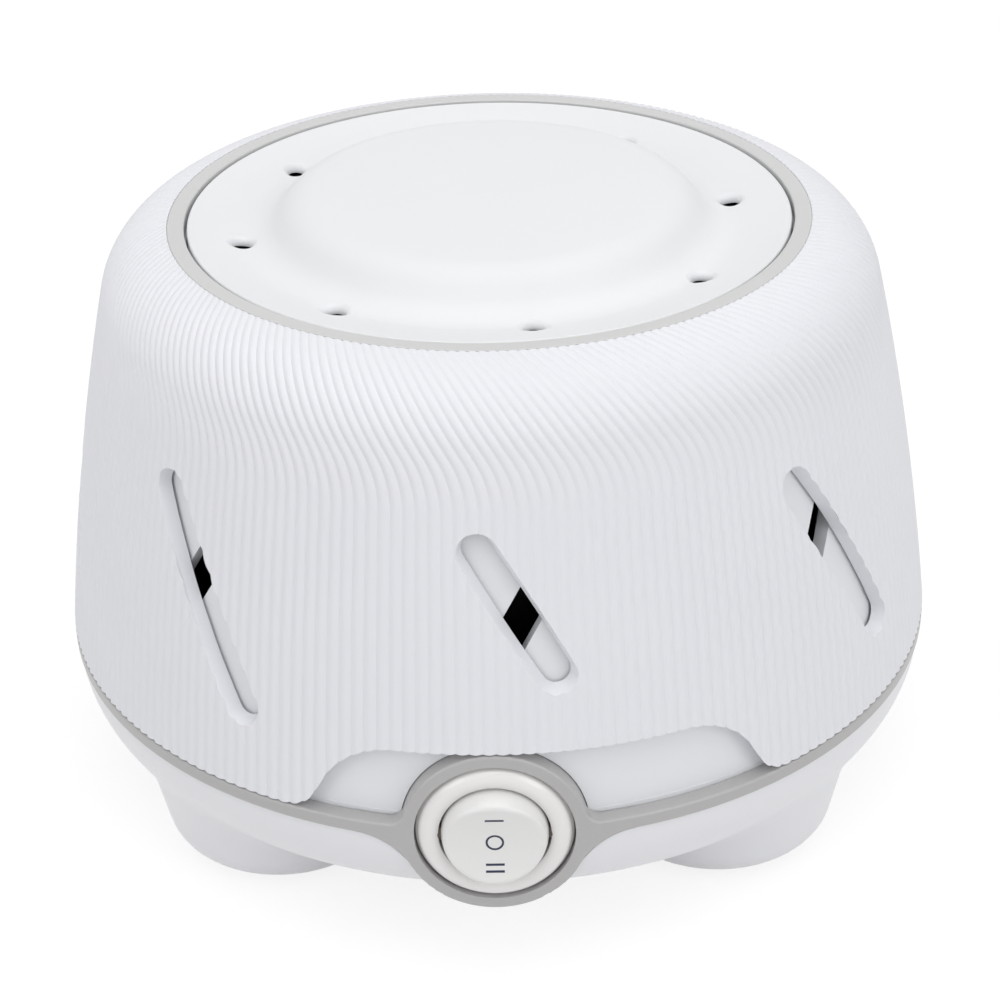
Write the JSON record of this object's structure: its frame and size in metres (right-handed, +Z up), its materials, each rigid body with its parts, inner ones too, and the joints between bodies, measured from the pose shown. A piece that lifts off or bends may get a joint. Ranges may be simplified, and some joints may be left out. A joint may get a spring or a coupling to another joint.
{
  "type": "white noise sound machine",
  "caption": "Round table-top white noise machine: a motor-driven fan in a white housing, tuned by turning a slotted ribbed collar and a cap, with a round rocker switch.",
  "frame": {"origin": "on the body's axis, at the floor under the foot pads, midway between the rocker's front and the cord gland's nose", "axes": "+Z up along the body's axis; -Y towards the power switch, the front; +X to the right seen from the front"},
  "size_m": [0.146, 0.1491, 0.1018],
  "materials": {
    "shell_white": "fine satin, ribbed",
    "cap_white": "fine satin",
    "trim_grey": "satin",
    "housing_white": "smooth satin",
    "base_white": "smooth satin",
    "pad_rubber": "matte",
    "gland_rubber": "matte",
    "switch_white": "gloss",
    "rocker_white": "gloss",
    "brass_tab": "plain",
    "steel": "zinc plated",
    "plate_steel": "pressed sheet",
    "lamination": "stacked sheet",
    "copper": "enamelled",
    "bobbin_black": "moulded",
    "bracket_alloy": "die cast",
    "bronze": "sintered",
    "drum_black": "moulded",
    "fan_black": "moulded",
    "lead_white": "insulated wire"
  },
  "bodies": {
    "chassis": {"inner_housing": "housing_white", "trim_band": "trim_grey", "base": "base_white", "foot_pads": "pad_rubber", "housing_screws": "steel", "cord_gland": "gland_rubber", "switch_housing": "switch_white", "rocker_pin": "steel", "switch_terminals": "brass_tab", "fan_drum": "drum_black", "motor_plate": "plate_steel", "rubber_mounts": "pad_rubber", "mount_screws": "steel", "stator_core": "lamination", "shading_rings": "copper", "coil_bobbin": "bobbin_black", "coil_winding": "copper", "coil_terminals": "brass_tab", "lower_bearing_bracket": "bracket_alloy", "upper_bearing_bracket": "bracket_alloy", "lower_bearing": "bronze", "upper_bearing": "bronze", "motor_bolts": "steel", "motor_nuts": "steel", "motor_leads": "lead_white"},
    "collar_shell": {"collar": "shell_white", "top_trim_ring": "trim_grey"},
    "cap_lid": {"cap": "cap_white", "cap_washer": "steel", "cap_screw": "steel"},
    "rocker": {"switch_rocker": "rocker_white"},
    "rotor": {"rotor_core": "lamination", "rotor_end_rings": "bracket_alloy", "motor_shaft": "steel", "fan_wheel": "fan_black"}
  },
  "joints": [
    {"name": "collar_turn", "type": "hinge", "parent": "chassis", "child": "collar_shell", "pos_m": [0, 0, 0.06], "axis": [0, 0, 1], "range_deg": [-21, 9]},
    {"name": "cap_turn", "type": "hinge", "parent": "chassis", "child": "cap_lid", "pos_m": [0, 0, 0.092], "axis": [0, 0, 1], "range_deg": [-20, 20]},
    {"name": "rocker_tilt", "type": "hinge", "parent": "chassis", "child": "rocker", "pos_m": [0, -0.0704, 0.02685], "axis": [1, 0, 0], "range_deg": [-10, 10]},
    {"name": "rotor_spin", "type": "hinge", "parent": "chassis", "child": "rotor", "pos_m": [0, 0, 0.045], "axis": [0, 0, 1], "continuous": true}
  ]
}
